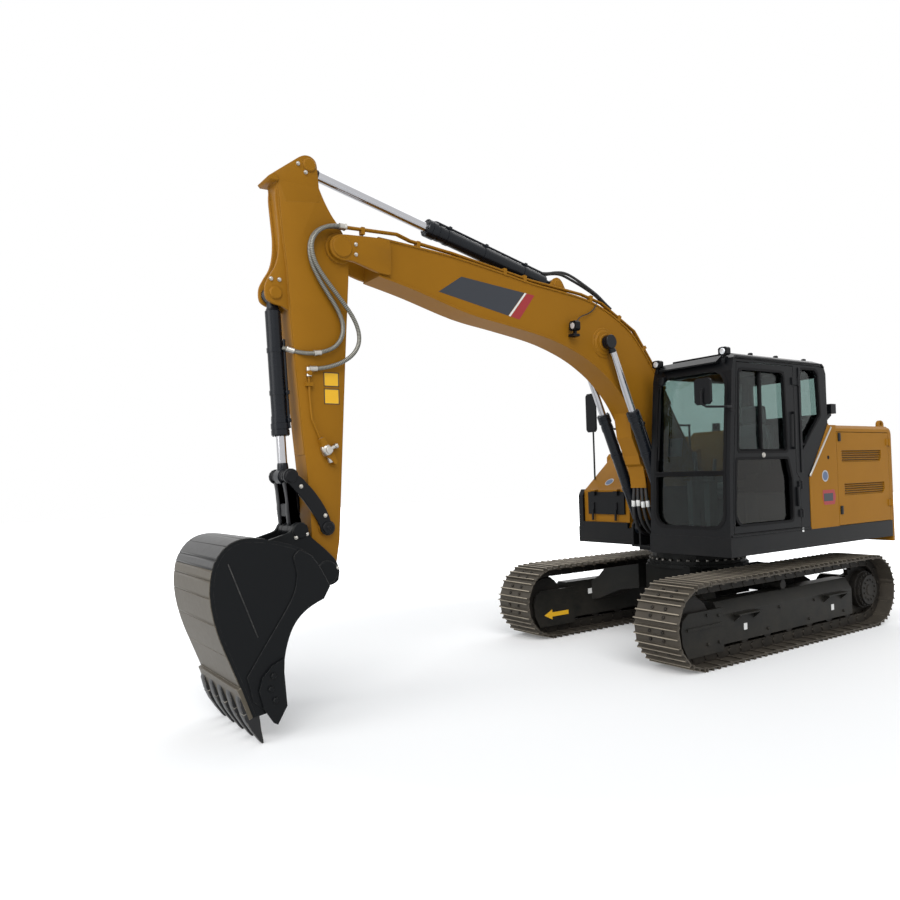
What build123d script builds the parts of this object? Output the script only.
from build123d import *
import math
import os

os.makedirs("parts", exist_ok=True)

# Crawler excavator, in millimetres: +X forward, +Y to the left, +Z up.
# All places below are measured from the slewing centre on the ground.
# The written pieces are shifted so that the origin is the middle of the footprint.
CENTRE_X = 1572.5

# Crawler undercarriage
TRACK_Y = 995.0
SHOE_WIDTH = 500.0
SHOE_COUNT = 45
AXLE_SPAN = 2920.0
CHAIN_R = 298.46
SHOE_PITCH = (2 * AXLE_SPAN + 2 * math.pi * CHAIN_R) / SHOE_COUNT
RAIL_IN, RAIL_OUT = 40.0, 54.0
GROUSER = 24.0
SHOE_THICK = 10.0
TRACK_R = CHAIN_R + RAIL_OUT + SHOE_THICK + GROUSER
AXLE_Z = TRACK_R
RAIL_INNER = CHAIN_R - RAIL_IN
RAIL_NEAR, RAIL_FAR = 55.0, 95.0
SIDE_WALL_IN, SIDE_WALL_OUT = 105.0, 140.0
IDLER_X, SPROCKET_X = AXLE_SPAN / 2, -AXLE_SPAN / 2

# Slewing ring and deck
RING_Z0, RING_Z1 = 762.0, 875.0
DECK_Z0, DECK_Z1 = 955.0, 1132.0
HALF_WIDTH = 1245.0
CAB_FRONT = 1062.0
TOOL_FRONT = 600.0
TAIL_R = 2280.0
REAR_SEAM = 68.07 - math.sqrt(TAIL_R ** 2 - HALF_WIDTH ** 2)
HOOD_Z = 2178.0
COVER_Z0 = DECK_Z1

# Boom, arm, bucket: pin places in the XZ plane at rest
BOOM_FOOT = (100.0, 1640.0)
BOOM_TIP = (4280.0, 3562.0)
BOOM_CYL_BASE = (650.0, 1155.0)
BOOM_CYL_TOP = (1460.0, 3040.0)
ARM_CYL_BASE = (1997.0, 3560.0)
ARM_CYL_TOP = (4508.0, 4172.0)
BUCKET_PIN = (4478.0, 1072.0)
IDLER_PIN = (4455.0, 1405.0)
LINK_TOP = (4736.0, 1802.0)
BUCKET_LINK = (4681.0, 1400.0)
BUCKET_CYL_BASE = (4791.0, 3166.0)
BOOM_HALF = 140.0
ARM_HALF = 105.0
ARM_BOSS = 125.0
EAR_IN, EAR_OUT = 131.0, 165.0
EYE_GAP = 51.0
RUNNING = 0.06
SEAT = 0.2
PIN_R = {"foot": 45.0, "tip": 40.0, "bucket": 36.0, "boom_cyl": 30.0, "arm_cyl": 32.0, "bucket_cyl": 28.0,
         "idler": 30.0, "link": 28.0}
BOOM_CYL_Y = 208.0
BUCKET_HALF = 450.0

# Cab
CAB_IN, CAB_OUT = 300.0, HALF_WIDTH - 5
CAB_Z0 = DECK_Z1
CAB_WALL = 45.0
GLASS = 6.0

# Door hinges
HINGE_R, HINGE_SEAT = 11.0, 0.3


def plate(points, y0, y1):
    """Prism of an XZ outline between two Y places."""
    wire = Wire.make_polygon([(x, y0, z) for x, z in points])
    return Solid.extrude(Face(wire), Vector(0, y1 - y0, 0))


def slab(points, z0, z1):
    """Prism of an XY outline between two heights."""
    wire = Wire.make_polygon([(x, y, z0) for x, y in points])
    return Solid.extrude(Face(wire), Vector(0, 0, z1 - z0))


def beam(points, x0, x1):
    """Prism of a YZ outline between two X places."""
    wire = Wire.make_polygon([(x0, y, z) for y, z in points])
    return Solid.extrude(Face(wire), Vector(x1 - x0, 0, 0))


def block(x0, x1, y0, y1, z0, z1):
    return slab([(x0, y0), (x1, y0), (x1, y1), (x0, y1)], z0, z1)


def axle(centre, r, y0, y1):
    """Round pin along Y."""
    plane = Plane(origin=(centre[0], y0, centre[1]), x_dir=(1, 0, 0), z_dir=(0, 1, 0))
    return Solid.make_cylinder(r, y1 - y0, plane)


def ring_points(centre, r, n):
    step = 2 * math.pi / n
    return [(centre[0] + r * math.cos((i + 0.5) * step), centre[1] + r * math.sin((i + 0.5) * step)) for i in range(n)]


def hub(centre, r, y0, y1, n=12):
    """Boss of n flats along Y."""
    return plate(ring_points(centre, r, n), y0, y1)


BORE_FLATS = 12


def bore(centre, r, y0, y1):
    """Cutter for a hole that runs on a pin of radius r."""
    return hub(centre, (r + RUNNING) / math.cos(math.pi / BORE_FLATS), y0, y1, BORE_FLATS)


def turret(r, z0, z1, n=24):
    """Disc of n flats round the slewing axis."""
    return slab(ring_points((0, 0), r, n), z0, z1)


def bar(p, q, r, n=12):
    """Bar of n flats from p to q."""
    start, end = Vector(*p), Vector(*q)
    plane = Plane(origin=start, z_dir=end - start)
    wire = Wire.make_polygon([plane.from_local_coords(Vector(u, v, 0)) for u, v in ring_points((0, 0), r, n)])
    return Solid.extrude(Face(wire), end - start)


def pipe(points, r, n=6):
    """Bent pipe of n flats through the points."""
    path = Polyline(*points)
    section = Plane(origin=points[0], z_dir=Vector(*points[1]) - Vector(*points[0])) * RegularPolygon(r, n)
    return sweep(section, path=path, transition=Transition.RIGHT)


def post(x, y, r, z0, z1):
    """Round post or vertical hole."""
    return Solid.make_cylinder(r, z1 - z0, Plane(origin=(x, y, z0)))


def join(*shapes):
    return Part() + list(shapes)


def mirror_y(shape):
    return mirror(shape, about=Plane.XZ)


def both(shape):
    """The shape and its mirror image on the other side."""
    return [shape, mirror_y(shape)]


def around(centre, offsets):
    """Outline written as offsets from a pin."""
    return [(centre[0] + dx, centre[1] + dz) for dx, dz in offsets]


def along(a, b, distance, side=0.0):
    """Place on the line from a to b, offset to its left in the XZ plane."""
    length = math.dist(a, b)
    ux, uz = (b[0] - a[0]) / length, (b[1] - a[1]) / length
    return a[0] + ux * distance - uz * side, a[1] + uz * distance + ux * side


def at_height(a, b, z):
    """X of the line from a to b at height z."""
    return a[0] + (b[0] - a[0]) * (z - a[1]) / (b[1] - a[1])


def hinge(axis, seat, strap, z0, z1, turned=False):
    """Barrel on the fixed seat and a strap on the moving side, each leaf as (x0, x1, y0, y1)."""
    barrel = post(*axis, HINGE_R, z0, z1) if turned else slab(ring_points(axis, HINGE_R, 10), z0, z1)
    return join(barrel, block(*seat, z0, z1)), block(*strap, z0 + 5, z1 - 5)


def save(name, *shapes):
    solids = [solid for shape in shapes for solid in shape.solids()]
    whole = solids[0] if len(solids) == 1 else Compound(solids)
    export_step(whole.moved(Location((-CENTRE_X, 0, 0))), f"parts/{name}.step")


def loop_place(s):
    """Point on the chain's loop, s measured from the bottom rear."""
    arc = math.pi * CHAIN_R
    if s < AXLE_SPAN:
        return SPROCKET_X + s, AXLE_Z - CHAIN_R
    s -= AXLE_SPAN
    if s < arc:
        a = s / CHAIN_R
        return IDLER_X + CHAIN_R * math.sin(a), AXLE_Z - CHAIN_R * math.cos(a)
    s -= arc
    if s < AXLE_SPAN:
        return IDLER_X - s, AXLE_Z + CHAIN_R
    a = math.pi + (s - AXLE_SPAN) / CHAIN_R
    return SPROCKET_X + CHAIN_R * math.sin(a), AXLE_Z - CHAIN_R * math.cos(a)


# Triple-grouser shoe outline: (along the track, out from the chain)
SHOE_GAP = 7.4
SHOE_HALF = (SHOE_PITCH - SHOE_GAP) / 2
SHOE_FACE = RAIL_OUT + SHOE_THICK
SHOE_TIP = SHOE_FACE + GROUSER
SHOE_ROOT = RAIL_OUT + 4
SHOE = [
    (-SHOE_HALF, SHOE_ROOT), (-SHOE_HALF, SHOE_TIP), (15 - SHOE_HALF, SHOE_FACE), (-10, SHOE_FACE), (0, SHOE_TIP),
    (10, SHOE_FACE), (SHOE_HALF - 15, SHOE_FACE), (SHOE_HALF, SHOE_TIP), (SHOE_HALF, SHOE_ROOT),
]


chain_joints = [loop_place(i * SHOE_PITCH) for i in range(SHOE_COUNT)]


def chain_loop(offset):
    """Outline through the chain's joints, its links moved outwards by offset."""
    points = []
    for i in range(SHOE_COUNT):
        before, here, after = chain_joints[i - 1], chain_joints[i], chain_joints[(i + 1) % SHOE_COUNT]
        last = math.atan2(here[1] - before[1], here[0] - before[0])
        coming = math.atan2(after[1] - here[1], after[0] - here[0])
        half = math.remainder(coming - last, 2 * math.pi) / 2
        if abs(half) > 0.001:
            reach = offset / math.cos(half)
            points.append((here[0] + reach * math.sin(last + half), here[1] - reach * math.cos(last + half)))
    return points


def make_track():
    """Belt of shoes with a groove between each two, on the chain's two rails."""
    outline = []
    for i in range(SHOE_COUNT):
        start, end = chain_joints[i], chain_joints[(i + 1) % SHOE_COUNT]
        middle = math.dist(start, end) / 2
        outline += [along(start, end, middle + u, -v) for u, v in SHOE]
    y0, y1 = TRACK_Y - SHOE_WIDTH / 2, TRACK_Y + SHOE_WIDTH / 2
    belt = plate(outline, y0, y1) - plate(chain_loop(RAIL_OUT), y0 - 5, y1 + 5)
    rails = []
    for y0, y1 in ((-RAIL_FAR, -RAIL_NEAR), (RAIL_NEAR, RAIL_FAR)):
        y0, y1 = TRACK_Y + y0, TRACK_Y + y1
        rails.append(plate(chain_loop(RAIL_OUT), y0, y1) - plate(chain_loop(-RAIL_IN), y0 - 5, y1 + 5))
    return join(belt, *rails)


track = make_track()
save("track_left", track)
save("track_right", mirror_y(track))


# Idler wheel: tread inside the chain's joints, middle flange between the rails, axle to the side plates
TREAD_R = CHAIN_R * math.cos(SHOE_PITCH / (2 * CHAIN_R)) - RAIL_IN - SEAT
idler_place = (IDLER_X, AXLE_Z)
idler = join(
    hub(idler_place, TREAD_R, TRACK_Y - 98, TRACK_Y + 98, 20),
    hub(idler_place, RAIL_INNER + 12, TRACK_Y - 48, TRACK_Y + 48, 20),
    hub(idler_place, 45, TRACK_Y - SIDE_WALL_IN, TRACK_Y + SIDE_WALL_IN, 8),
)
save("idler_left", idler)
save("idler_right", mirror_y(idler))

# Sprocket: toothed disc between the chain rails, with the final drive's stepped cover
TEETH = 22
sprocket_place = (SPROCKET_X, AXLE_Z)
tooth_outline = []
for i in range(TEETH):
    for turn, r in ((0, 306.0), (0.5, 256.0)):
        a = 2 * math.pi * (i + turn) / TEETH
        tooth_outline.append((SPROCKET_X + r * math.cos(a), AXLE_Z + r * math.sin(a)))
# final drive cover: radius, inner and outer end from the track's middle
cover_steps = [hub(sprocket_place, r, TRACK_Y + start, TRACK_Y + end, 16)
               for r, start, end in ((205, -55, 96), (186, 96, 130), (160, 130, 156), (60, 156, 164))]
sprocket = join(plate(tooth_outline, TRACK_Y - 25, TRACK_Y + 25), *cover_steps)
save("sprocket_left", sprocket)
save("sprocket_right", mirror_y(sprocket))

# Lower rollers and one carrier roller a side, axles bearing on the frame
ROLLER_COUNT = 7
ROLLER_STEP = AXLE_SPAN * 0.1233
ROLLER_R = 70.0
ROLLER_Z = AXLE_Z - RAIL_INNER + ROLLER_R + SEAT
CARRIER_X, CARRIER_R = 60.0, 45.0
CARRIER_Z = AXLE_Z + RAIL_INNER - CARRIER_R - SEAT
ROLLER_FLATS = 12
# x, z, radius, outer end from the track's middle
roller_rows = [(ROLLER_STEP * (i - 3), ROLLER_Z, ROLLER_R, SIDE_WALL_IN - SEAT) for i in range(ROLLER_COUNT)]
roller_rows.append((CARRIER_X, CARRIER_Z, CARRIER_R, RAIL_FAR))
rollers = []
for x, z, r, end in roller_rows:
    rollers.append(hub((x, z), r / math.cos(math.pi / ROLLER_FLATS), TRACK_Y - SIDE_WALL_IN + SEAT, TRACK_Y + end,
                       ROLLER_FLATS))
save("track_rollers_left", *rollers)
save("track_rollers_right", *[mirror_y(r) for r in rollers])

# Track frame: box beam with roller side walls, idler guards, motor bracket, two steps outside
FRAME_TOP, FRAME_SHOULDER, FRAME_BELLY, FRAME_FOOT = 548.0, 440.0, 290.0, 168.0
FRAME_END = IDLER_X - 340
frame_section = [
    (-SIDE_WALL_OUT, FRAME_FOOT), (-SIDE_WALL_IN, FRAME_FOOT), (-SIDE_WALL_IN, FRAME_BELLY),
    (SIDE_WALL_IN, FRAME_BELLY), (SIDE_WALL_IN, FRAME_FOOT), (SIDE_WALL_OUT, FRAME_FOOT),
    (SIDE_WALL_OUT, FRAME_SHOULDER), (70, FRAME_TOP), (-70, FRAME_TOP), (-SIDE_WALL_OUT, FRAME_SHOULDER),
]
track_frame = beam([(TRACK_Y + y, z) for y, z in frame_section], -FRAME_END, FRAME_END)
# idler guard, from the idler's axle; its rib runs along it at axle height
idler_guard = around(idler_place, [
    (-385, -276), (110, -276), (176, -150), (190, -20), (170, 60), (90, 114), (-385, 114)])
guard_rib = around(idler_place, [(-360, -38), (120, -38), (120, -14), (-360, -14)])
motor_plate = around(sprocket_place, [(350, -90), (350, 130), (60, 175), (-100, 155), (-160, 14), (-100, -136), (60, -166)])
STEP_OUT = 78.0
steps = []
for x0, x1 in ((592, 937), (-934, -552)):
    tread = block(x0, x1, TRACK_Y + SIDE_WALL_OUT, TRACK_Y + SIDE_WALL_OUT + STEP_OUT, 418, 430)
    gussets = [beam([(TRACK_Y + SIDE_WALL_OUT, 418), (TRACK_Y + SIDE_WALL_OUT + STEP_OUT, 418),
                     (TRACK_Y + SIDE_WALL_OUT, 350)], x, x + 10) for x in (x0 + 20, x1 - 30)]
    steps += [tread, *gussets]
track_frame = join(
    track_frame,
    plate(idler_guard, TRACK_Y - SIDE_WALL_OUT, TRACK_Y - SIDE_WALL_IN),
    plate(idler_guard, TRACK_Y + SIDE_WALL_IN, TRACK_Y + SIDE_WALL_OUT),
    plate(guard_rib, TRACK_Y + SIDE_WALL_OUT, TRACK_Y + SIDE_WALL_OUT + 14),
    plate(motor_plate, TRACK_Y - 90, TRACK_Y - 55),
    hub(sprocket_place, 140, TRACK_Y - 400, TRACK_Y - 90),
    block(CARRIER_X - 30, CARRIER_X + 30, TRACK_Y - 135, TRACK_Y - SIDE_WALL_IN, 430, CARRIER_Z + 30),
    *steps,
)
save("track_frame_left", track_frame)
save("track_frame_right", mirror_y(track_frame))


# Car body: centre box, four tall legs spreading to the track frames, ring seat
LEG_INNER, LEG_OUTER = 430.0, TRACK_Y - SIDE_WALL_OUT


# leg in plan and from the front: (x, y) and (y, z)
LEG_PLAN = [(230, LEG_INNER), (480, LEG_INNER), (800, LEG_OUTER), (520, LEG_OUTER)]
LEG_FRONT = [(LEG_INNER, 465), (600, 445), (790, 345), (LEG_OUTER, 330), (LEG_OUTER, 540), (785, 600), (735, 680),
             (LEG_INNER, 735)]


def leg(side_x):
    return slab([(side_x * x, y) for x, y in LEG_PLAN], 300, 740) & beam(LEG_FRONT, side_x * 200, side_x * 850)


legs = [leg(1), leg(-1)]
car_body = join(
    slab([(-500, -300), (-500, 300), (-300, 440), (300, 440), (500, 300), (500, -300), (300, -440), (-300, -440)],
         430, 745),
    turret(545, 725, RING_Z0),
    *legs,
    *[mirror_y(piece) for piece in legs],
)
# tow lug in plan: its vertical hole's place and radius
TOW_X, TOW_HOLE_R, TOW_Z0, TOW_Z1 = 600.0, 32.0, 470.0, 510.0
tow_lugs = []
for side in (1, -1):
    tongue = slab([(side * 480, -150), (side * 480, 150), (side * 600, 80), (side * 665, 50), (side * 680, 0),
                   (side * 665, -50), (side * 600, -80)], TOW_Z0, TOW_Z1)
    tow_lugs.append(tongue - post(side * TOW_X, 0, TOW_HOLE_R, TOW_Z0 - 5, TOW_Z1 + 5))
car_body = join(car_body, *tow_lugs)
save("car_body", car_body)
slewing_ring = join(turret(520, RING_Z0, 800), turret(485, 800, RING_Z1))
save("slewing_ring", slewing_ring)

# Deck: closed tray notched at the front for the boom, with the bearing's seat and the main beams below,
# the black skirt under the tool box and the guard post at its outer corner
DECK_NOTCH = 560.0
NOTCH_HALF = 285.0
BOX_SIDE = HALF_WIDTH - 80
deck_outline = [
    (CAB_FRONT, NOTCH_HALF), (CAB_FRONT, HALF_WIDTH), (REAR_SEAM, HALF_WIDTH), (REAR_SEAM, -HALF_WIDTH),
    (TOOL_FRONT, -HALF_WIDTH), (TOOL_FRONT, -NOTCH_HALF), (DECK_NOTCH, -NOTCH_HALF), (DECK_NOTCH, NOTCH_HALF),
]
guard_post = [(TOOL_FRONT - 60, DECK_Z1), (TOOL_FRONT, DECK_Z1), (TOOL_FRONT, 1500), (TOOL_FRONT - 45, 1572),
              (TOOL_FRONT - 60, 1572)]
swing_frame = join(
    slab(deck_outline, DECK_Z0, DECK_Z1),
    turret(530, RING_Z1 + 0.3, DECK_Z0),
    *[block(REAR_SEAM, DECK_NOTCH, y0, y1, 905, DECK_Z0) for y0, y1 in ((140, 330), (-330, -140))],
    block(TOOL_FRONT - 30, TOOL_FRONT, -BOX_SIDE, -460, DECK_Z1, 1195),
    plate(guard_post, -HALF_WIDTH + 8, -BOX_SIDE - 2),
)
save("swing_frame", swing_frame)

# Boom foot brackets: two tall plates with the foot pin, two outer ears for the cylinders' pins
foot_plate = [
    (-420, DECK_Z1), (-420, 1200), (-180, 1500), *around(BOOM_FOOT, [(-80, 75), (-30, 105), (30, 105), (85, 75)]),
    (400, 1300), *around(BOOM_CYL_BASE, [(-130, 77), (40, 77), (80, 35), (85, -25)]), (735, DECK_Z0),
    (DECK_NOTCH, DECK_Z0), (DECK_NOTCH, DECK_Z1),
]
base_ear = [
    (430, DECK_Z1), (430, 1160), *around(BOOM_CYL_BASE, [(-90, 77), (40, 77), (80, 35), (85, -25)]), (735, DECK_Z0),
    (DECK_NOTCH, DECK_Z0), (DECK_NOTCH, DECK_Z1),
]
foot_pin, cylinder_pin = PIN_R["foot"], PIN_R["boom_cyl"]
boom_brackets = join(
    *both(plate(foot_plate, 146, 167)),
    *both(plate(base_ear, 249, 275)),
    block(DECK_NOTCH, 735, -275, 275, DECK_Z0, DECK_Z0 + 20),
    axle(BOOM_FOOT, foot_pin, -150, 150),
    *both(hub(BOOM_FOOT, foot_pin + 14, 167, 186)),
    *both(axle(BOOM_CYL_BASE, cylinder_pin, 160, 260)),
    *both(hub(BOOM_CYL_BASE, cylinder_pin + 8, 275, 283)),
)
save("boom_brackets", boom_brackets)

# Counterweight: one casting with its back an arc round the slewing centre, edges eased, two lifting eyes
COUNTER_TOP = HOOD_Z - 12
counter_section = [
    (-HALF_WIDTH, 900), (HALF_WIDTH, 900), (HALF_WIDTH, COUNTER_TOP - 60), (HALF_WIDTH - 45, COUNTER_TOP),
    (45 - HALF_WIDTH, COUNTER_TOP), (-HALF_WIDTH, COUNTER_TOP - 60),
]
counterweight = beam(counter_section, -TAIL_R - 20, REAR_SEAM) & turret(TAIL_R, 850, COUNTER_TOP + 50, 48)
LIFT_X, LIFT_Z, LIFT_Y, LIFT_R = REAR_SEAM - 123, COUNTER_TOP + 49, HALF_WIDTH - 165, 26.0
eye_side = [(LIFT_X - 75, COUNTER_TOP - 20), *around((LIFT_X, LIFT_Z), [
    (-60, 10), (-25, 47), (25, 47), (60, 10)]), (LIFT_X + 75, COUNTER_TOP - 20)]
for y in (LIFT_Y, -LIFT_Y):
    eye = plate(eye_side, y - 16, y + 16) - axle((LIFT_X, LIFT_Z), LIFT_R, y - 20, y + 20)
    counterweight = join(counterweight, eye)
save("counterweight", counterweight)

# Cab: side profile, hollow and windows as (x, z); section as (y, z) with rounded roof edges
cab_side = [
    (CAB_FRONT, CAB_Z0), (CAB_FRONT, 1180), (1035, 1750), (952, 2660), (915, 2780), (840, 2825), (-480, 2832),
    (-560, 2800), (-600, 2700), (-600, 2190), (-225, 1640), (-225, CAB_Z0),
]
FRONT_LOW, FRONT_MID, FRONT_HIGH = (1018, 1172), (990, 1745), (908, 2650)
cab_hollow = [
    FRONT_LOW, FRONT_MID, FRONT_HIGH, (880, 2745), (830, 2780), (-480, 2780), (-530, 2760), (-555, 2690),
    (-555, 2208), (-180, 1655), (-180, CAB_Z0 + 40),
]
cab_section = [
    (CAB_IN, CAB_Z0), (CAB_OUT, CAB_Z0), (CAB_OUT, 2765), (CAB_OUT - 22, 2808), (CAB_OUT - 75, 2835),
    (CAB_IN + 75, 2835), (CAB_IN + 22, 2808), (CAB_IN, 2765),
]
door_window = [(905, 1905), (850, 2680), (140, 2685), (120, 1905)]
door_lower = [(985, 1230), (930, 1850), (120, 1850), (60, 1640), (60, 1230)]
quarter_window = [(-120, 1905), (-120, 2740), (-400, 2745), (-455, 2690), (-480, 2270)]
right_window = [(900, 1600), (850, 2680), (-420, 2690), (-420, 2290), (-150, 1900), (-100, 1600)]
door_edge = [(1000, 1165), (1003, 1290), (975, 1745), (880, 2735), (-10, 2745), (-10, 1700), (-60, 1640), (-60, 1165)]
door_opening = [
    (1008, 1159), (1011, 1290), (983, 1745), (887, 2742), (-16, 2752), (-16, 1702), (-66, 1642), (-66, 1159),
]


def front_window(z0, z1, corner_low, corner_high):
    """Cutter for a windshield opening with cut corners."""
    y0, y1 = CAB_IN + 60, CAB_OUT - 60
    return beam([(y0 + corner_low, z0), (y1 - corner_low, z0), (y1, z0 + corner_low), (y1, z1 - corner_high),
                 (y1 - corner_high, z1), (y0 + corner_high, z1), (y0, z1 - corner_high), (y0, z0 + corner_low)], 850, 1100)


cab_body = (plate(cab_side, CAB_IN, CAB_OUT) & beam(cab_section, -700, 1200)) - plate(
    cab_hollow, CAB_IN + CAB_WALL, CAB_OUT - CAB_WALL)
HATCH = (250, 780, CAB_IN + 180, CAB_OUT - 180)
cab_frame = cab_body - [
    plate(door_opening, CAB_OUT - 60, CAB_OUT + 10),
    plate(quarter_window, CAB_OUT - 60, CAB_OUT + 10),
    plate(right_window, CAB_IN - 10, CAB_IN + 60),
    front_window(1215, 1708, 70, 12),
    front_window(1738, 2685, 12, 90),
    block(-640, -540, CAB_IN + 80, CAB_OUT - 80, 2290, 2670),
    block(*HATCH, 2770, 2840),
]
# raised hatch rim on the roof and the rain visor above the windshield
hatch_rim = block(215, 815, CAB_IN + 145, CAB_OUT - 145, 2822, 2846) - block(*HATCH, 2800, 2860)
visor = plate([(935, 2745), (985, 2740), (990, 2752), (900, 2812), (880, 2800)], CAB_IN + 110, CAB_OUT - 145)
cab_frame = join(cab_frame, hatch_rim, visor)
DOOR_AXIS = (-72.0, CAB_OUT + 12)
cab_door = plate(door_edge, CAB_OUT - CAB_WALL + 5, CAB_OUT) - [
    plate(door_window, CAB_OUT - 60, CAB_OUT + 10), plate(door_lower, CAB_OUT - 60, CAB_OUT + 10)]
# hinge height, front end of the moving leaf
for z, leaf_end in ((1260, -30), (1540, -30), (2560, 20)):
    strap = (DOOR_AXIS[0] + HINGE_R + HINGE_SEAT, leaf_end, CAB_OUT, CAB_OUT + 14)
    fixed, moving = hinge(DOOR_AXIS, (-100, -68, CAB_OUT, CAB_OUT + 10), strap, z, z + 80, z == 1540)
    cab_frame = join(cab_frame, fixed)
    cab_door = join(cab_door, moving)
save("cab_frame", cab_frame)
save("cab_door", cab_door)


def grown(points, by):
    """Outline moved outwards from its middle."""
    cx = sum(p[0] for p in points) / len(points)
    cz = sum(p[1] for p in points) / len(points)
    return [(x + math.copysign(by, x - cx), z + math.copysign(by, z - cz)) for x, z in points]


door_back = CAB_OUT - CAB_WALL + 5
save("cab_door_glass",
     plate(grown(door_window, 12), door_back - GLASS, door_back),
     plate(grown(door_lower, 12), door_back - GLASS, door_back))


def pane(z0, z1, a, b):
    """Leaning windshield pane between two heights, just inside the frame's inner line from a to b."""
    x0, x1 = at_height(a, b, z0) - SEAT, at_height(a, b, z1) - SEAT
    return plate([(x0, z0), (x1, z1), (x1 - GLASS, z1), (x0 - GLASS, z0)], CAB_IN + 48, CAB_OUT - 48)


side_back = CAB_OUT - CAB_WALL
right_back = CAB_IN + CAB_WALL
save("cab_glass",
     pane(1195, 1718, FRONT_LOW, FRONT_MID),
     pane(1747, 2648, FRONT_MID, FRONT_HIGH),
     plate(grown(quarter_window, 10), side_back - GLASS, side_back),
     plate(grown(right_window, 8), right_back, right_back + GLASS),
     block(-555, -555 + GLASS, CAB_IN + 70, CAB_OUT - 70, 2275, 2685),
     block(HATCH[0] - 12, HATCH[1] + 12, HATCH[2] - 12, HATCH[3] + 12, 2780 - GLASS, 2780))

# Seat on the cab floor, both armrest consoles, travel pedals with their levers
CAB_FLOOR = CAB_Z0 + 40
SEAT_Y = (CAB_IN + CAB_OUT) / 2
SEAT_HALF = 0.266 * (CAB_OUT - CAB_IN)
cab_seat = join(
    block(60, 420, SEAT_Y - 190, SEAT_Y + 190, CAB_FLOOR, CAB_FLOOR + 330),
    block(20, 500, SEAT_Y - SEAT_HALF, SEAT_Y + SEAT_HALF, CAB_FLOOR + 330, CAB_FLOOR + 460),
    plate([(20, CAB_FLOOR + 440), (130, CAB_FLOOR + 440), (40, 2200), (-60, 2200)],
          SEAT_Y - SEAT_HALF + 10, SEAT_Y + SEAT_HALF - 10),
    plate([(-50, 2190), (30, 2190), (10, 2400), (-60, 2400)], SEAT_Y - 130, SEAT_Y + 130),
)
save("cab_seat", cab_seat)
console_side = [(0, CAB_FLOOR), (500, CAB_FLOOR), (560, 1560), (500, 1700), (60, 1680), (0, 1620)]
console_near = SEAT_HALF + 12
console_width = (CAB_OUT - CAB_WALL - 30) - (SEAT_Y + console_near)
pedals = [block(780, 900, SEAT_Y + y, SEAT_Y + y + 60, CAB_FLOOR, 1650) for y in (-130, 70)]
save("cab_consoles",
     plate(console_side, SEAT_Y - console_near - console_width, SEAT_Y - console_near),
     plate(console_side, SEAT_Y + console_near, SEAT_Y + console_near + console_width),
     join(*pedals, block(720, 940, SEAT_Y - 170, SEAT_Y + 170, CAB_FLOOR, CAB_FLOOR + 30)))

# Covers round the engine: fixed panels with eased top edges, hinged louvred doors and the top hood
PANEL = 36.0
DOOR_GAP = 6.0
CAB_REAR = -606.0
DOOR_X0, DOOR_X1 = REAR_SEAM + 40, -750.0
left_cover = [(-231, COVER_Z0), (-231, 1648), (CAB_REAR, 2194), (CAB_REAR, HOOD_Z), (DOOR_X1 + DOOR_GAP, HOOD_Z),
              (DOOR_X1 + DOOR_GAP, COVER_Z0)]
HOOD_X0, HOOD_X1, HOOD_Y = REAR_SEAM + 62, -770.0, HALF_WIDTH - 605
EDGE = 34.0
top_section = [
    (-HALF_WIDTH, HOOD_Z - 2 * EDGE), (HALF_WIDTH, HOOD_Z - 2 * EDGE), (HALF_WIDTH, HOOD_Z - EDGE),
    (HALF_WIDTH - EDGE, HOOD_Z), (EDGE - HALF_WIDTH, HOOD_Z), (-HALF_WIDTH, HOOD_Z - EDGE),
]
body_panels = join(
    plate(left_cover, HALF_WIDTH - PANEL, HALF_WIDTH),
    block(DOOR_X1 + DOOR_GAP, -700, -HALF_WIDTH, HALF_WIDTH, COVER_Z0, HOOD_Z - EDGE),
    beam(top_section, REAR_SEAM + 4, -700)
    - block(HOOD_X0 - DOOR_GAP, HOOD_X1 + DOOR_GAP, -HOOD_Y - DOOR_GAP, HOOD_Y + DOOR_GAP, HOOD_Z - 80, HOOD_Z + 10),
    block(REAR_SEAM + 4, REAR_SEAM + 34, -HALF_WIDTH, HALF_WIDTH, COVER_Z0, HOOD_Z - EDGE),
    block(-700, -620, -HALF_WIDTH, -450, COVER_Z0, 2010),
)
HOOD_AXIS = (HOOD_X0 - 6, HOOD_Z + 53)
hood_section = [(-HOOD_Y, HOOD_Z - 30), (HOOD_Y, HOOD_Z - 30), (HOOD_Y, HOOD_Z + 12), (HOOD_Y - 40, HOOD_Z + 40),
                (40 - HOOD_Y, HOOD_Z + 40), (-HOOD_Y, HOOD_Z + 12)]
engine_hood = beam(hood_section, HOOD_X0, HOOD_X1)
for y, barrel in ((-450.0, axle), (370.0, hub)):
    body_panels = join(body_panels, block(HOOD_X0 - 32, HOOD_X0 - 10, y, y + 80, HOOD_Z - 10, HOOD_Z + 50),
                       barrel(HOOD_AXIS, HINGE_R, y, y + 80))
    engine_hood = join(engine_hood, block(HOOD_AXIS[0] + HINGE_R + HINGE_SEAT, HOOD_X0 + 45, y + 5, y + 75,
                                          HOOD_Z + 40, HOOD_Z + 56))
save("engine_hood", engine_hood)
side_door = block(DOOR_X0, DOOR_X1, HALF_WIDTH - PANEL, HALF_WIDTH, COVER_Z0 + DOOR_GAP, HOOD_Z - 2 * EDGE - DOOR_GAP)
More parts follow.
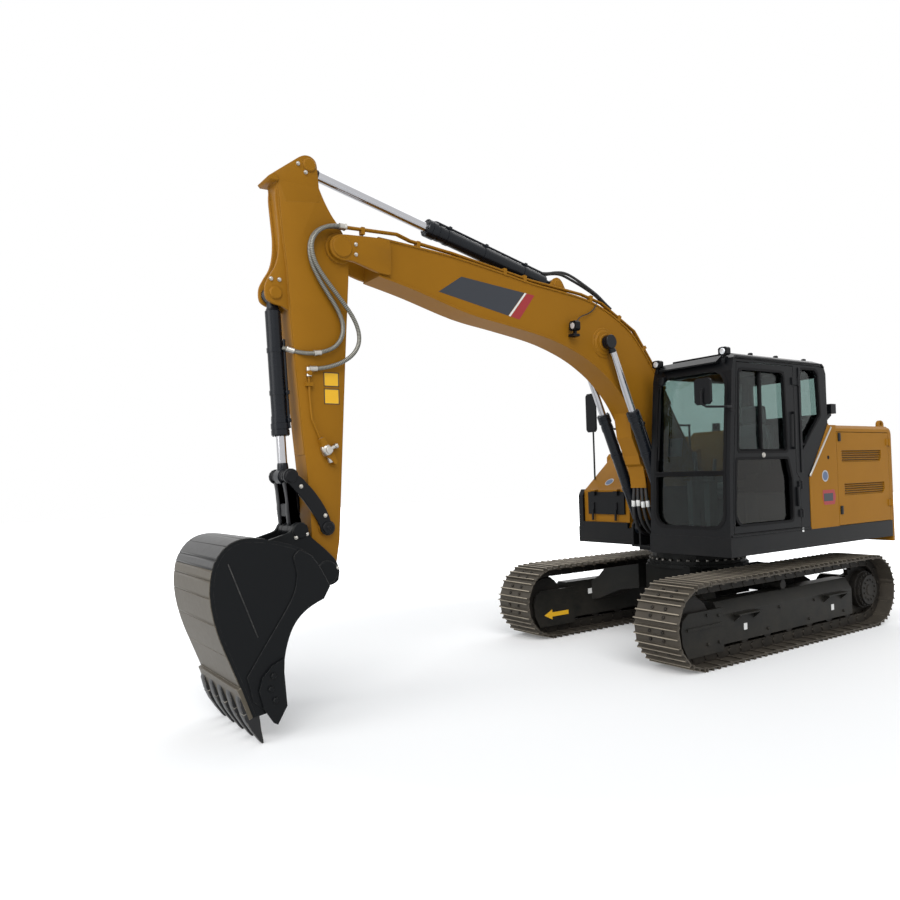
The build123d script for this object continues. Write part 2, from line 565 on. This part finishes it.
# louvred grille: x0, x1, z0, z1
GRILLES = (
    (DOOR_X0 + 159, DOOR_X1 - 87, 1793, 1914),
    (DOOR_X0 + 107, DOOR_X1 - 121, 1444, 1564),
)
GRILLE_DEEP = 24.0
SLATS = 5
for x0, x1, z0, z1 in GRILLES:
    recess = plate([(x0 + 40, z0), (x1, z0), (x1, z1), (x0, z1), (x0, z0 + 40)], HALF_WIDTH - GRILLE_DEEP, HALF_WIDTH + 5)
    side_door = side_door - recess
    for i in range(SLATS):
        z = z0 + (z1 - z0) * (i + 0.5) / SLATS
        slat = beam([(HALF_WIDTH - GRILLE_DEEP, z + 2), (HALF_WIDTH - 4, z - 9), (HALF_WIDTH - 4, z - 4),
                     (HALF_WIDTH - GRILLE_DEEP, z + 7)], x0 + 10, x1)
        side_door = join(side_door, slat)
SIDE_AXIS = (DOOR_X0 - 8, HALF_WIDTH + 12)
for z in (1290, 1960):
    strap = (SIDE_AXIS[0] + HINGE_R + HINGE_SEAT, DOOR_X0 + 47, HALF_WIDTH, HALF_WIDTH + 12)
    seat = (DOOR_X0 - 34, DOOR_X0 - 4, HALF_WIDTH, HALF_WIDTH + 8)
    fixed, moving = hinge(SIDE_AXIS, seat, strap, z, z + 80, z == 1290)
    side_door = join(side_door, moving)
    body_panels = join(body_panels, *both(fixed))
save("side_door_left", side_door)
save("side_door_right", mirror_y(side_door))
# exhaust stub at the right rear
body_panels = join(body_panels, slab(ring_points((REAR_SEAM + 242, 345 - HALF_WIDTH), 48, 12), HOOD_Z - 5, HOOD_Z + 190))
save("body_panels", body_panels)
save("engine_block", block(REAR_SEAM + 122, -1080, -480, 420, DECK_Z1, 2000))

# Right side: tank, tool box with its front door hinged at the top
BOX_IN = -450.0
tank_side = [(100, DECK_Z1), (100, 1950), (60, 1990), (-620, 1990), (-620, DECK_Z1)]
save("fuel_tank", plate(tank_side, -HALF_WIDTH, BOX_IN))
box_side = [(TOOL_FRONT - 30, 1195), (TOOL_FRONT - 30, 1560), (TOOL_FRONT - 70, 1590), (100, 1950), (100, DECK_Z1),
            (TOOL_FRONT - 62, DECK_Z1), (TOOL_FRONT - 62, 1195)]
BOX_AXIS = (TOOL_FRONT + 14, 1558.0)
DOOR_TOP = 1540.0
tool_box = plate(box_side, -BOX_SIDE, BOX_IN)
tool_box_door = block(TOOL_FRONT - 29.7, TOOL_FRONT - 6, 85 - BOX_SIDE, -505, 1285, DOOR_TOP)
for y, barrel in ((155 - BOX_SIDE, hub), (-650, axle)):
    tool_box = join(tool_box, barrel(BOX_AXIS, HINGE_R, y, y + 70),
                    block(TOOL_FRONT - 34, BOX_AXIS[0], y, y + 70, BOX_AXIS[1] - 6, BOX_AXIS[1] + 10))
    tool_box_door = join(tool_box_door, block(TOOL_FRONT - 6, BOX_AXIS[0] + 8, y + 5, y + 65, 1500,
                                              BOX_AXIS[1] - HINGE_R - HINGE_SEAT))
save("tool_box", tool_box)
save("tool_box_door", tool_box_door)


# Boom: outline as (x, z), with foot hub, doubled cylinder bosses and tip ears
boom_top = [(3900, 3685), (3225, 3640), (2363, 3512), (1735, 3458), (1473, 3400), (1030, 3165), (787, 2860), (420, 2280)]
boom_side = [
    (20, 1700), (180, 1560), (768, 1890), (1180, 2500), (1394, 2665), (1777, 2905), (2275, 3060), (3084, 3180),
    (3594, 3315), (3900, 3382), *boom_top,
]
tip_ear = [
    (3700, 3340), (3950, 3395), *around(BOOM_TIP, [(-100, -112), (0, -100), (70, -70), (100, 0), (70, 70), (0, 100),
                                                  (-100, 118)]), (3950, 3690), (3700, 3672),
]
cylinder_ear = around(ARM_CYL_BASE, [(-137, -100), (-52, 50), (0, 75), (48, 50), (88, -80)])
boom = join(
    plate(boom_side, -BOOM_HALF, BOOM_HALF),
    hub(BOOM_FOOT, 112, -BOOM_HALF, BOOM_HALF, 16),
    hub(BOOM_CYL_TOP, 126, -BOOM_HALF - 10, BOOM_HALF + 10, 16),
    hub(BOOM_CYL_TOP, 85, -166, 166),
    *both(plate(tip_ear, EAR_IN, EAR_OUT)),
    *both(hub(BOOM_TIP, 80, EAR_IN, EAR_OUT + 14)),
    *both(plate(cylinder_ear, EYE_GAP, 80)),
)
boom = join(boom - bore(BOOM_FOOT, PIN_R["foot"], -200, 200),
            axle(BOOM_TIP, PIN_R["tip"], -EAR_IN - 5, EAR_IN + 5), axle(ARM_CYL_BASE, PIN_R["arm_cyl"], -60, 60))
save("boom", boom)

# Hose guard: bent strip under the boom between its cylinders, hung from the belly
guard_line = [(1120, 2395), (1082, 2110), (992, 1925), (968, 1835), (930, 1812), (906, 1680), (898, 1590)]
guard_back = [(x - 12, z) for x, z in reversed(guard_line[1:])]
guard_strip = plate([*guard_line, *guard_back, (1108, 2390)], -104, 104)
guard_cheek = plate([(1120, 2395), (1082, 2110), (992, 1925), (812, 1960)], 92, 104)
belly = plate(boom_side, -BOOM_HALF - 50, BOOM_HALF + 50).moved(Location((0.25, 0, -0.25)))
save("hose_guard", join(guard_strip, *both(guard_cheek)) - belly)

# Boom pipes: two lines on the left, clamped to the boom's top, stepping out to the tip
PIPE_R = 11.0
# x, z, step outwards
PIPE_ROUTE = [
    (490, 2460, 0), (758, 2884, 0), (1010, 3200, 0), (1460, 3438, 0), (1735, 3498, 0), (2363, 3552, 0),
    (3225, 3680, 0), (3640, 3722, 0), (3790, 3742, 44), (4240, 3724, 44),
]
# distances of the clamps from each corner of the boom's top, from its tip to its foot
CLAMPS = [(330,), (560, 790), (), (120,), (260,), (200,), (300,)]
pipes = []
for y in (98, 124):
    pipes.append(pipe([(x, y + out, z) for x, z, out in PIPE_ROUTE], PIPE_R))
for a, b, distances in zip(boom_top, boom_top[1:], CLAMPS):
    for distance in distances:
        corners = [along(a, b, distance + u, v) for u, v in ((-16, -0.3), (16, -0.3), (16, -64), (-16, -64))]
        pipes.append(plate(corners, 84, 137))
pipes.append(block(4085, 4115, 132, 178, 3688, 3745))
boom_pipes = join(*pipes)
save("boom_pipes", boom_pipes)


# Work lamp: bowl with its lens, facing forward, on a stem
def work_lamp(x, y, z, wide, tall, deep):
    bowl = beam([(y - wide / 2, z - tall / 3), (y - wide / 3, z - tall / 2), (y + wide / 3, z - tall / 2),
                 (y + wide / 2, z - tall / 3), (y + wide / 2, z + tall / 3), (y + wide / 3, z + tall / 2),
                 (y - wide / 3, z + tall / 2), (y - wide / 2, z + tall / 3)], x - deep, x)
    return join(bowl, block(x - deep * 0.7, x - deep * 0.3, y - 14, y + 14, z - tall / 2 - 30, z - tall / 2))


LAMP_Y = BOOM_HALF + 62
boom_lamp = join(work_lamp(1935, LAMP_Y, 3158, 92, 92, 58),
                 block(1860, 1935, BOOM_HALF + 0.3, LAMP_Y + 16, 3060, 3084))
save("boom_lamp", boom_lamp)
lamps = []
for x, y, z in ((950, CAB_OUT - 88, 2822), (950, CAB_IN + 52, 2806)):
    stem = plate([(905, 2776.5), (955, 2735), (960, 2762), (945, 2790), (900, 2796)], y - 16, y + 16)
    lamps.append(join(work_lamp(x + 12, y, z + 20, 95, 76, 58), stem) - cab_body.moved(Location((0.25, 0, 0.25))))
rear_lamp = join(block(-790, -700, CAB_OUT - 90, CAB_OUT - 10, 2300, 2400),
                 plate([(-744, 2300), (-700, 2300), (-600.3, 2240), (-600.3, 2215), (-640, 2215), (-744, 2280)],
                       CAB_OUT - 62, CAB_OUT - 38))
save("work_lamps", *lamps, rear_lamp)

# Mirrors: the left on an arm from the cab's front pillar, the right on a post from the tool box
MIRROR_ROD = 11.0
left_mirror = join(
    beam([(1010, 2370), (1035, 2345), (1165, 2345), (1190, 2370), (1190, 2560), (1165, 2585), (1035, 2585), (1010, 2560)],
         1180, 1206),
    pipe([(1000, CAB_OUT + 14, 2318), (1070, CAB_OUT + 18, 2318), (1218, 1150, 2322), (1218, 1100, 2352),
          (1218, 1100, 2470)], MIRROR_ROD),
    block(970, 1012, CAB_OUT + 0.3, CAB_OUT + 18, 2290, 2346),
    block(1200, 1222, 1085, 1115, 2450, 2490),
)
POST_X, POST_Y = 430.0, -HALF_WIDTH + 120
right_mirror = join(
    beam([(POST_Y - 78, 2280), (POST_Y - 52, 2250), (POST_Y + 52, 2250), (POST_Y + 78, 2280), (POST_Y + 78, 2680),
          (POST_Y + 52, 2710), (POST_Y - 52, 2710), (POST_Y - 78, 2680)], POST_X + 10, POST_X + 38),
    pipe([(POST_X, POST_Y, 1684), (POST_X, POST_Y, 2560)], MIRROR_ROD),
    block(POST_X - 6, POST_X + 14, POST_Y - 15, POST_Y + 15, 2440, 2500),
)
box_cut = plate(box_side, -BOX_SIDE - 10, BOX_IN + 10).moved(Location((0.2, 0, 0.25)))
save("mirrors", left_mirror, right_mirror - box_cut)

# Arm: tapered box with the head plates for its cylinder and ears for the bucket cylinder
arm = join(
    plate([(4420, 3960), (4760, 4010), (4735, 3700), (4700, 3357), (4682, 2982), (4620, 2177), (4570, 1600),
           (4565, 1080), (4380, 1080), (4340, 1304), (4252, 2661), (4205, 3316), (4205, 3640), (4290, 3720)],
          -ARM_HALF, ARM_HALF),
    *both(plate([*around(ARM_CYL_TOP, [(-71, -162), (-67, 18), (6, 69), (52, 68), (102, 38)]),
                 (4790, 4062), (4872, 3975), (4770, 3700), (4400, 3900)], EYE_GAP, ARM_HALF)),
    hub(BOOM_TIP, 118, -ARM_BOSS, ARM_BOSS, 16),
    hub(BUCKET_PIN, 95, -ARM_BOSS, ARM_BOSS),
    hub(IDLER_PIN, 62, -ARM_BOSS, ARM_BOSS),
    *both(plate([*around(BUCKET_CYL_BASE, [(-101, 164), (-51, 94), (9, 74), (69, 34), (69, -46), (19, -76), (-111, -81)])],
                EYE_GAP, 80)),
)
arm = arm - [bore(BOOM_TIP, PIN_R["tip"], -200, 200), bore(BUCKET_PIN, PIN_R["bucket"], -200, 200)]
arm = join(arm, axle(BUCKET_CYL_BASE, PIN_R["bucket_cyl"], -60, 60), axle(IDLER_PIN, PIN_R["idler"], -160, 160),
           *both(hub(IDLER_PIN, 46, 160, 174)))
save("arm", arm)

# Arm pipe: line down the arm's left side from the hose's fitting to the stop valve
SIDE_Y = ARM_HALF + 20
valve = plate([(4470, 2092), (4505, 2075), (4462, 1965), (4380, 1880), (4362, 1896), (4402, 1985)], ARM_HALF + 0.3, 162)
arm_pipe = join(
    pipe([(4563, SIDE_Y, 2560), (4562, SIDE_Y, 2421), (4548, SIDE_Y, 2231), (4486, SIDE_Y, 2080)], 9),
    valve,
    block(4535, 4590, ARM_HALF + 0.3, SIDE_Y + 14, 2476, 2504),
    hub((4563, 2575), 20, ARM_HALF + 0.3, SIDE_Y + 22, 8),
)
save("arm_pipe", arm_pipe)

# Bucket: wrapped shell with doubled side plates, ears over the arm's tip and the link
shell = [
    (4590, 1010), (4720, 1235), (4900, 1335), (5200, 1385), (5330, 1340), (5410, 1210), (5425, 1010), (5365, 730),
    (5240, 400), (5165, 190), (5060, 205), (4951, 494), (4887, 729), (4772, 863), (4640, 926),
]
shell_inner = [
    (4500, 960), (4610, 1010), (4735, 1213), (4905, 1310), (5198, 1360), (5318, 1318), (5386, 1202), (5400, 1012),
    (5341, 737), (5216, 408), (5140, 180), (4800, 100), (4400, 700),
]
# outer doubling plate along the mouth's edge
doubler = [
    (4640, 926), (4590, 1010), (4720, 1235), (4811, 1288), (4863, 1237), (4838, 1132), (4882, 942), (5099, 621),
    (5204, 466), (5165, 300), (5060, 205), (4951, 494), (4887, 729), (4772, 863),
]
ear = [
    (4385, 1010), (4420, 980), (4478, 972), (4560, 985), (4600, 1015), (4725, 1228), (4900, 1328), (4900, 1350),
    *around(BUCKET_LINK, [(64, 0), (39, 50), (-31, 52), (-59, 0)]), (4575, 1320), (4400, 1150), (4375, 1072),
]
bucket = join(
    plate(shell, -BUCKET_HALF, BUCKET_HALF) - plate(shell_inner, -BUCKET_HALF + 22, BUCKET_HALF - 22),
    *both(plate(doubler, BUCKET_HALF, BUCKET_HALF + 12)),
    *both(plate(ear, EAR_IN, 163)),
    *both(hub(BUCKET_PIN, 88, EAR_IN, 178)),
    *both(hub(BUCKET_LINK, 60, EAR_IN, 178)),
    axle(BUCKET_PIN, PIN_R["bucket"], -EAR_IN - 5, EAR_IN + 5),
)
save("bucket", bucket)
cutter = [
    (4948, 560), (5035, 522), (5105, 450), (5128, 366), (5100, 245), (5033, 138), (5006, 122), (4937, 236), (4953, 467),
]
save("side_cutters", *both(plate(cutter, BUCKET_HALF + 12.3, BUCKET_HALF + 32)))
TOOTH_SIDE = [(5150, 330), (5255, 350), (5245, 290), (5170, 90), (5098, 0), (5088, 4), (5120, 190)]
TOOTH_Y = (-400, -200, 0, 200, 400)
teeth = []
for y in TOOTH_Y:
    taper = beam([(y - 45, 350), (y + 45, 350), (y + 45, 220), (y + 28, 0), (y - 28, 0), (y - 45, 220)], 5000, 5300)
    teeth.append(plate(TOOTH_SIDE, y - 45, y + 45) & taper)
lip = plate([(5165, 190), (5190, 178), (5266, 391), (5240, 400)], -BUCKET_HALF, BUCKET_HALF)
save("bucket_teeth", join(lip, *teeth) - bucket)


def piston_rod(base, top, start, r, y, eye_r, eye_half):
    """Piston rod from inside the barrel to its eye."""
    p, q = along(base, top, start), top
    neck = along(base, top, math.dist(base, top) - eye_r - 35)
    return join(
        bar((p[0], y, p[1]), (q[0], y, q[1]), r),
        bar((neck[0], y, neck[1]), (q[0], y, q[1]), eye_half * 0.97),
        hub(q, eye_r, y - eye_half, y + eye_half),
    )


# name, base, top, barrel length, barrel r, rod r, base eye r, rod eye r, eye half width, y places,
# bore start, rod start, base pin
CYLINDERS = [
    ("boom_cylinder", BOOM_CYL_BASE, BOOM_CYL_TOP, 1318, 58, 36, 70, 68, 35, (BOOM_CYL_Y, -BOOM_CYL_Y), 140, 760, "boom_cyl"),
    ("arm_cylinder", ARM_CYL_BASE, ARM_CYL_TOP, 1461, 68, 42, 68, 72, 45, (0,), 180, 1070, "arm_cyl"),
    ("bucket_cylinder", BUCKET_CYL_BASE, LINK_TOP, 1060, 58, 36, 66, 62, 45, (0,), 140, 230, "bucket_cyl"),
]
for row in CYLINDERS:
    name, base, top, length, barrel_r, rod_r, base_r, top_r, eye_half, places, bore_start, rod_start, pin = row
    barrels, rods = [], []
    for y in places:
        a, b = along(base, top, base_r + 45), along(base, top, length)
        inside = along(base, top, bore_start)
        root = join(
            hub(base, base_r, y - eye_half, y + eye_half),
            bar((base[0], y, base[1]), (a[0], y, a[1]), eye_half * 0.95),
            bar((a[0], y, a[1]), (b[0], y, b[1]), barrel_r),
        )
        root = root - bore(base, PIN_R[pin], y - 60, y + 60)
        gland = along(base, top, length - 90)
        root = join(root, bar((gland[0], y, gland[1]), (b[0], y, b[1]), barrel_r + 7))
        past = along(base, top, length + 5)
        barrels.append(root - bar((inside[0], y, inside[1]), (past[0], y, past[1]), rod_r + RUNNING))
        rods.append(piston_rod(base, top, rod_start, rod_r, y, top_r, eye_half))
    save(f"{name}_barrel", *barrels)
    save(f"{name}_rod", *rods)


# Bucket linkage: two curved idler links outside the arm, H-shaped link between the bucket's ears
# idler link's edge: (distance from its arm pin towards its top pin, offset to the rear)
IDLER_END_R = 56.0
idler_edge = [
    (0, -56), (60, -40), (180, -26), (300, -28), (420, -44), (486, -56), (486, 56), (400, 66), (280, 76), (150, 74),
    (0, 56),
]
idler_plate = join(
    plate([along(IDLER_PIN, LINK_TOP, d, side) for d, side in idler_edge], 131, 156),
    hub(IDLER_PIN, IDLER_END_R, 131, 156), hub(LINK_TOP, IDLER_END_R, 131, 156),
) - bore(IDLER_PIN, PIN_R["idler"], 100, 200)
idler_plate = join(idler_plate, axle(LINK_TOP, PIN_R["link"], 51, 140), hub(LINK_TOP, 44, 156, 166))
save("idler_links", *both(idler_plate))
link_bar = [
    *around(LINK_TOP, [(-46, -22), (-36, 33), (0, 56), (39, 38), (56, -12)]), (4760, 1560),
    *around(BUCKET_LINK, [(54, -20), (0, -60), (-41, -40), (-56, 0)]), (4660, 1560),
]
h_link = join(
    plate(link_bar, 51, 120), plate(link_bar, -120, -51),
    hub(BUCKET_LINK, 60, -ARM_BOSS, ARM_BOSS),
    block(4665, 4745, -60, 60, 1500, 1600),
)
save("h_link", h_link - bore(LINK_TOP, PIN_R["link"], -130, 130))
